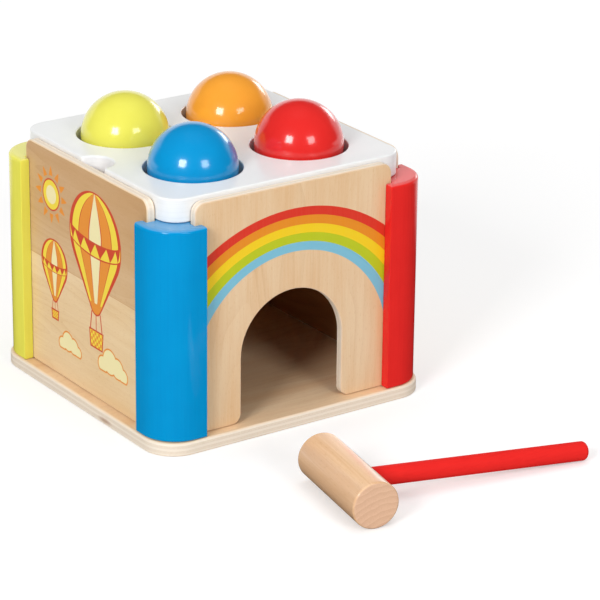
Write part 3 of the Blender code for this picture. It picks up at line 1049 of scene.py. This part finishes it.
def rubber():
    """Matt dark rubber with a fine bloom."""
    paint = Finish("rubber", {"Specular IOR Level": 0.3})
    bloom = paint.noise(0.004, 3.0)
    grit = paint.noise(0.0003)
    tone = paint.mix(bloom, *RUBBER_TONES)
    return paint.finish(tone, bloom * 0.2 + 0.55, grit, strength=0.2, depth=0.0001)


def zinc_steel():
    """Zinc-plated steel with faint clouds and fine scratches."""
    metal = Finish("zinc_steel", {"Metallic": 1.0})
    cloud = metal.noise(0.002, 3.0)
    scratch = metal.noise(along(Y_AXIS, 0.0001, 0.002))
    tone = metal.mix(cloud, *ZINC_TONES)
    return metal.finish(tone, cloud * 0.2 + 0.22, scratch, strength=0.08, depth=0.00005)


# Pieces
KNOT = (-0.0262, 0.0022)
PAINTS = {
    "blue": (ink(0, 145, 205), ink(0, 132, 195)),
    "red": (ink(228, 42, 38), ink(212, 32, 32)),
    "yellow": (ink(233, 228, 94), ink(224, 217, 77)),
    "orange": (ink(244, 163, 54), ink(236, 149, 38)),
}


def make_base(steel):
    """The base plate, countersunk from below for four screws."""
    skin = Skin()
    outline = rounded_square(BASE_HALF, BASE_CORNER)
    prism(skin, outline, rim_profile(0, BASE_TOP, BASE_FOOT_RIM, BASE_RIM), edge=1)
    face = veneer("floor_veneer", X_AXIS, FLOOR_TONES, drift=5.0)
    layers = {"plies": 5, "face": FLOOR_TONES["pale"], "glue_share": 0.30}
    piece = dress("base_plate", skin, face, ply_edge("base_edge", Z_AXIS, 0.0, BASE_TOP, **layers, knot=KNOT))
    holes = Skin()
    fit_screws(holes, [f"base_screw_{corner}" for corner in CORNERS], BASE_SCREW, steel)
    bore(piece, holes)


def make_posts():
    """The four posts, one shape turned into each corner: a section for each row of a rim profile."""
    profile = rim_profile(POST_FOOT, POST_TOP, POST_FOOT_RIM, POST_RIM)
    rows = at_heights(np.stack([post_outline(inset) for inset in profile[:, 0]]), profile)
    for corner, degrees in CORNER_TURN.items():
        colour = COLOUR_AT[corner]
        skin = Skin()
        closed_wall(skin, turn_about_z(rows, degrees))
        name = f"{colour}_post_lacquer"
        # The posts' tops get the painted sheen from just below their top
        dress(f"post_{corner}", skin, lacquer(name, *PAINTS[colour], POST_GLOSS, Z_AXIS, POST_TOP - TOP_SOFT))


def make_panels():
    """The four panels. The front one has the doorway and the rainbow."""
    # The inner faces take the darker veneer, painted shade for the inside of the box
    inner = {
        Y_AXIS: veneer("upright_inner_shaded_veneer", Z_AXIS, SHADED_INNER_TONES, drift=1.0),
        X_AXIS: veneer("level_inner_shaded_veneer", Y_AXIS, SHADED_INNER_TONES, drift=2.0),
    }
    outer = {
        "front": rainbow_veneer(),
        "left": balloon_veneer(),
        "rear": veneer("rear_veneer", Z_AXIS, FRONT_TONES, drift=6.0),
        "right": veneer("right_veneer", Y_AXIS, SIDE_TONES, drift=8.0),
    }
    profile = rim_profile(0, PANEL_FACE - PANEL_BACK, PANEL_RIM, PANEL_RIM)
    for side, degrees in PANEL_TURN.items():
        axis = Y_AXIS if side in ("front", "rear") else X_AXIS
        sign = -1 if side in ("front", "left") else 1
        tones = FRONT_TONES if axis == Y_AXIS else SIDE_TONES
        layers = {"plies": 3, "face": tones["warm"], "glue_share": 0.10}
        edge = ply_edge(f"{side}_panel_edge", axis, sign * PANEL_BACK, sign * PANEL_FACE, **layers)
        skin = Skin()
        rows = wall_rows(panel_outline(side == "front"), profile)
        closed_wall(skin, stand_panel(rows, degrees), face=0, edge=1, back=2)
        dress(f"panel_{side}", skin, outer[side], edge, inner[axis])


def make_lid():
    """The lid, as a rim strip round its outline and a bored quarter round each hole. The finger notch's
    radius grows evenly from the underside to the top."""
    skin = Skin()
    profile = rim_profile(LID_UNDERSIDE, LID_TOP, LID_FOOT_RIM, LID_RIM)
    radii = np.interp(profile[:, 1], [LID_UNDERSIDE, LID_TOP], [NOTCH_FOOT_RADIUS, NOTCH_RADIUS])
    rows = wall_rows(np.stack([lid_outline(radius) for radius in radii]), profile)
    skin.grid(rows, 0, True)
    for sign in CORNERS.values():
        centre = np.array(sign) * HOLE_OFFSET
        top_edge = quarter_edge(rows[-1, :, :2], np.array(sign))
        low_edge = quarter_edge(rows[0, :, :2], np.array(sign))
        bored_quarter(skin, centre, top_edge, low_edge, hole_profile())
    dress("lid_board", skin, white_lacquer())


def make_retainer_board(steel):
    """The board under the lid that keeps the grip rings up, with its bores and screw holes."""
    skin = Skin()
    prism(skin, board_outline(), rim_profile(BOARD_UNDERSIDE, BOARD_TOP, BOARD_RIM, BOARD_RIM), edge=1)
    face = veneer("retainer_veneer", Y_AXIS, FLOOR_TONES, drift=7.0)
    layers = {"plies": 3, "face": FLOOR_TONES["pale"], "glue_share": 0.35}
    edge = ply_edge("retainer_edge", Z_AXIS, BOARD_UNDERSIDE, BOARD_TOP, **layers)
    piece = dress("ring_retainer_board", skin, face, edge)
    holes = Skin()
    reach = BOARD_TOP - BOARD_UNDERSIDE
    bore_rows = np.array([(0, -reach), (HOLE_RADIUS, -reach), (HOLE_RADIUS, 2 * reach), (0, 2 * reach)])
    for x, y in CORNERS.values():
        place = (x * HOLE_OFFSET, y * HOLE_OFFSET, BOARD_UNDERSIDE)
        turned(holes, bore_rows, ROD_STEPS, shift(place), 1)
    fit_screws(holes, [f"retainer_screw_{side}" for side in BOARD_SCREW_SIDES], BOARD_SCREW, steel)
    bore(piece, holes)


def make_rings():
    """Grip rings. Each opens as wide as its ball is where it rests in the ring."""
    material = rubber()
    for corner in CORNERS:
        node = f"grip_ring_{corner}"
        x, y, _ = middle(node)
        rise = middle(f"ball_{COLOUR_AT[corner]}")[2] - RING_HIGH
        inner = math.sqrt(BALL_RADIUS**2 - rise**2) + RING_EASE
        side, flat = quarter_round(RING_ROUND)
        lower = np.stack([RING_OUTER - side, RING_LOW + flat], axis=1)
        upper = np.stack([RING_OUTER - flat, RING_HIGH - side], axis=1)
        lip = np.stack([inner + side, RING_HIGH - flat], axis=1)
        foot = [(inner, RING_LOW + RING_LIP), (inner + RING_LIP, RING_LOW), tuple(lower[0])]
        rows = np.concatenate([lower, upper, lip, foot])
        skin = Skin()
        turned(skin, rows, ROD_STEPS, shift((x, y, 0)))
        dress(node, skin, material)


def make_balls():
    """Turned balls, with the small flat that each one stood on while its lacquer dried."""
    turn = np.radians(np.linspace(-90, 90, BALL_STEPS // 2 + 1))
    height = np.maximum(BALL_RADIUS * np.sin(turn), BALL_FLAT - BALL_RADIUS)
    rows = np.stack([BALL_RADIUS * np.abs(np.cos(turn)), height], axis=1)
    rows[[0, -1], 0] = 0
    for colour in COLOUR_AT.values():
        node = f"ball_{colour}"
        skin = Skin()
        turned(skin, rows, BALL_STEPS, shift(middle(node)))
        dress(node, skin, lacquer(f"{colour}_ball_lacquer", *PAINTS[colour], BALL_GLOSS))


def make_hammer():
    """The mallet: a turned head along its own Y and a handle along its own X."""
    def head_place(points):
        """Lays the Z axis of a spun shape along the head."""
        x, y, z = np.moveaxis(points, -1, 0)
        return lay_hammer(np.stack([x, z, -y], axis=-1))

    def handle_place(points):
        """Lays the Z axis of a spun shape along the handle."""
        x, y, z = np.moveaxis(points, -1, 0)
        return lay_hammer(np.stack([z, y, -x], axis=-1))

    half = HEAD_LENGTH / 2
    rows = rod_profile(HEAD_RADIUS, -half, half, HEAD_RIM)
    head = Skin()
    turned(head, rows[:END_GRAIN_ROWS], ROD_STEPS, head_place, 1)
    turned(head, rows[END_GRAIN_ROWS - 1:1 - END_GRAIN_ROWS], ROD_STEPS, head_place, 0)
    turned(head, rows[-END_GRAIN_ROWS:], ROD_STEPS, head_place, 1)
    dress("hammer_head", head, beech_side(), beech_end())
    handle = Skin()
    rows = rod_profile(HANDLE_RADIUS, -HANDLE_SEAT, HANDLE_REACH, HANDLE_RIM)
    turned(handle, rows, ROD_STEPS, handle_place)
    dress("hammer_handle", handle, lacquer("handle_lacquer", *PAINTS["red"], HANDLE_GLOSS, X_AXIS))


# Studio
FLOOR_HALF = 6.0
FLOOR_STEPS = 9
FLOOR_DROP = 0.0001
FLOOR_COLOUR = 0.70
FLOOR_LIFT = 0.36
FAR_FLOOR_LIFT = 0.66
FAR_FLOOR_FROM, FAR_FLOOR_SOFT = 1.3, 1.8
LIT_FLOOR_FROM, LIT_FLOOR_SOFT = 0.20, 0.1
AMBIENT = 0.21
OVERHEAD = 0.48
DIM_SIDE = 0.02
BACKDROP_FROM, BACKDROP_SOFT = 0.5, 0.2
BACKDROP_TOP, BACKDROP_TOP_SOFT = 0.38, 0.10
LAMP_AIM = np.array((0.0, -0.02, 0.07))
CARD_AIM = np.array((0.042, -0.166, 0.045))
LAMPS = {
    "left_lamp": {"azimuth": -152, "elevation": 27, "distance": 2.2, "size": (0.66, 0.66), "level": 0.53},
    "right_lamp": {"azimuth": -90, "elevation": 25, "distance": 2.2, "size": (0.66, 0.66), "level": 0.26},
    "rear_lamp": {"azimuth": 27, "elevation": 13, "distance": 2.0, "size": (0.60, 0.40), "level": 0.09},
    "high_lamp": {
        "azimuth": 55, "elevation": 80, "distance": 2.0, "size": (1.20, 1.20), "level": 0.16,
        "unseen_by": "glossy",
    },
    "hammer_card": {
        "azimuth": 90, "elevation": 0, "distance": 0.07, "size": (0.14, 0.10), "level": 0.78,
        "unseen_by": "diffuse", "aim": CARD_AIM, "roll": -56,
    },
}
CAMERA_TURN = math.radians(-34.905)
CAMERA_RISE = math.radians(21.360)
CAMERA_ROLL = math.radians(0.682)
CAMERA_DISTANCE = 1.55758
CAMERA_AIM_HEIGHT = 0.060
CAMERA_ACROSS = -0.04491
CAMERA_UP = 0.01800
CAMERA_LENS = 183.946
CAMERA_SENSOR = 36.0
CAMERA_CLIP = 50.0


def light_path(recipe):
    """1 for rays that look straight at the backdrop, also through glass, and 1 for those that a gloss sends
    there."""
    paths = recipe.node("ShaderNodeLightPath").socket.node.outputs
    kinds = ("Camera", "Glossy", "Transmission")
    camera, gloss, through = (Field(recipe, paths[f"Is {kind} Ray"]) for kind in kinds)
    return camera.greater(through), gloss


def behind(recipe, spot, limit, soft):
    """0 on the camera's side of the object and 1 on the far side, which has the lit backdrop."""
    inputs = {0: spot, 1: (-math.sin(CAMERA_TURN), math.cos(CAMERA_TURN), 0.0)}
    reach = recipe.node("ShaderNodeVectorMath", {"operation": "DOT_PRODUCT"}, inputs, "Value")
    return reach.above(limit, soft)


def make_floor():
    """A wide pale floor that keeps the object's shadow. It is lifted to white, more so far from the lamps,
    and a gloss mirrors it only well behind the object."""
    skin = Skin()
    reach = np.linspace(-FLOOR_HALF, FLOOR_HALF, FLOOR_STEPS)
    across, back = np.meshgrid(reach, reach)
    skin.grid(np.stack([across, back, 0 * across - FLOOR_DROP], axis=-1))
    paint = Finish("studio_floor", {"Specular IOR Level": 0.0, "Emission Strength": 1.0})
    looked, gloss = light_path(paint)
    far_side = behind(paint, paint.place, LIT_FLOOR_FROM, LIT_FLOOR_SOFT)
    away = paint.node("ShaderNodeVectorMath", {"operation": "LENGTH"}, {0: paint.place}, "Value")
    lift = away.above(FAR_FLOOR_FROM, FAR_FLOOR_SOFT) * (FAR_FLOOR_LIFT - FLOOR_LIFT) + FLOOR_LIFT
    glow = (looked + gloss * far_side) * lift
    dimmed = gloss * (1 - far_side)
    paint.feed(paint.shader.inputs["Emission Color"], paint.mix(glow, grey(0.0), grey(1.0)))
    material = paint.finish(paint.mix(dimmed, grey(FLOOR_COLOUR), grey(DIM_SIDE)), roughness=1.0)
    floor = show("studio_floor", skin.mesh("studio_floor", [material]))


def make_world():
    """White surroundings to look at, which light the object softly, more so from above. A gloss mirrors only
    the lower part of the far side, where the lit backdrop stands."""
    world = bpy.data.worlds.new("studio")
    bpy.context.scene.world = world
    world.use_nodes = True
    recipe = Recipe(world.node_tree)
    backdrop = world.node_tree.nodes["Background"]
    backdrop.inputs["Color"].default_value = grey(1.0)
    looked, gloss = light_path(recipe)
    direction = recipe.node("ShaderNodeTexCoord", output="Generated")
    height = recipe.node("ShaderNodeSeparateXYZ", None, {"Vector": direction}, "Z")
    sky = height.greater(0.0) * OVERHEAD + AMBIENT
    far_side = behind(recipe, direction, BACKDROP_FROM, BACKDROP_SOFT)
    backdrop_seen = far_side * height.below(BACKDROP_TOP, BACKDROP_TOP_SOFT)
    mirrored = backdrop_seen * (1 - DIM_SIDE) + DIM_SIDE
    strength = sky + looked * (1 - sky) + gloss * (mirrored - sky)
    recipe.feed(backdrop.inputs["Strength"], strength)


def facing(azimuth, elevation, roll):
    """Right, up and back axes of a lamp or camera that stands at an azimuth and elevation and looks back,
    rolled about its own line of sight."""
    flat = math.cos(elevation)
    back = np.array((math.cos(azimuth) * flat, math.sin(azimuth) * flat, math.sin(elevation)))
    level = np.array((-math.sin(azimuth), math.cos(azimuth), 0.0))
    upright = np.cross(back, level)
    right = level * math.cos(roll) + upright * math.sin(roll)
    up = upright * math.cos(roll) - level * math.sin(roll)
    return right, up, back


def pose(right, up, back, place):
    """A matrix from three axes and a place."""
    rows = np.eye(4)
    rows[:3] = np.stack([right, up, back, place], axis=1)
    return Matrix(rows.tolist())


def lamp(name, azimuth, elevation, distance, size, level, unseen_by=None, aim=LAMP_AIM, roll=0):
    """A rectangular lamp that faces a place. Its level is the share of full white that it gives a facing
    white."""
    right, up, back = facing(math.radians(azimuth), math.radians(elevation), math.radians(roll))
    light = bpy.data.lights.new(name, "AREA")
    light.shape = "RECTANGLE"
    light.size, light.size_y = size
    light.energy = level * (math.pi * distance) ** 2
    obj = show(name, light)
    obj.matrix_world = pose(right, up, back, aim + distance * back)
    obj.visible_camera = False
    if unseen_by:
        setattr(obj, f"visible_{unseen_by}", False)


def make_camera():
    """The photograph's camera: a long lens that looks down at the box from its front left."""
    right, up, back = facing(CAMERA_TURN - math.pi / 2, CAMERA_RISE, CAMERA_ROLL)
    aim = np.array((0.0, 0.0, CAMERA_AIM_HEIGHT)) - right * CAMERA_ACROSS - up * CAMERA_UP
    camera = bpy.data.cameras.new("camera")
    camera.lens = CAMERA_LENS
    camera.sensor_width = CAMERA_SENSOR
    camera.clip_end = CAMERA_CLIP
    obj = show("camera", camera)
    obj.matrix_world = pose(right, up, back, aim + back * CAMERA_DISTANCE)
    bpy.context.scene.camera = obj


def make_studio():
    """Two square lamps beside the camera, one behind at the right, one overhead that isn't mirrored, a white
    card that only the hammer mirrors, and the floor."""
    make_world()
    make_floor()
    for name, settings in LAMPS.items():
        lamp(name, **settings)
    make_camera()
    bpy.context.scene.view_settings.view_transform = "Standard"


SCREW_STEEL = zinc_steel()
make_base(SCREW_STEEL)
make_posts()
make_panels()
make_lid()
make_retainer_board(SCREW_STEEL)
make_rings()
make_balls()
make_hammer()
make_studio()
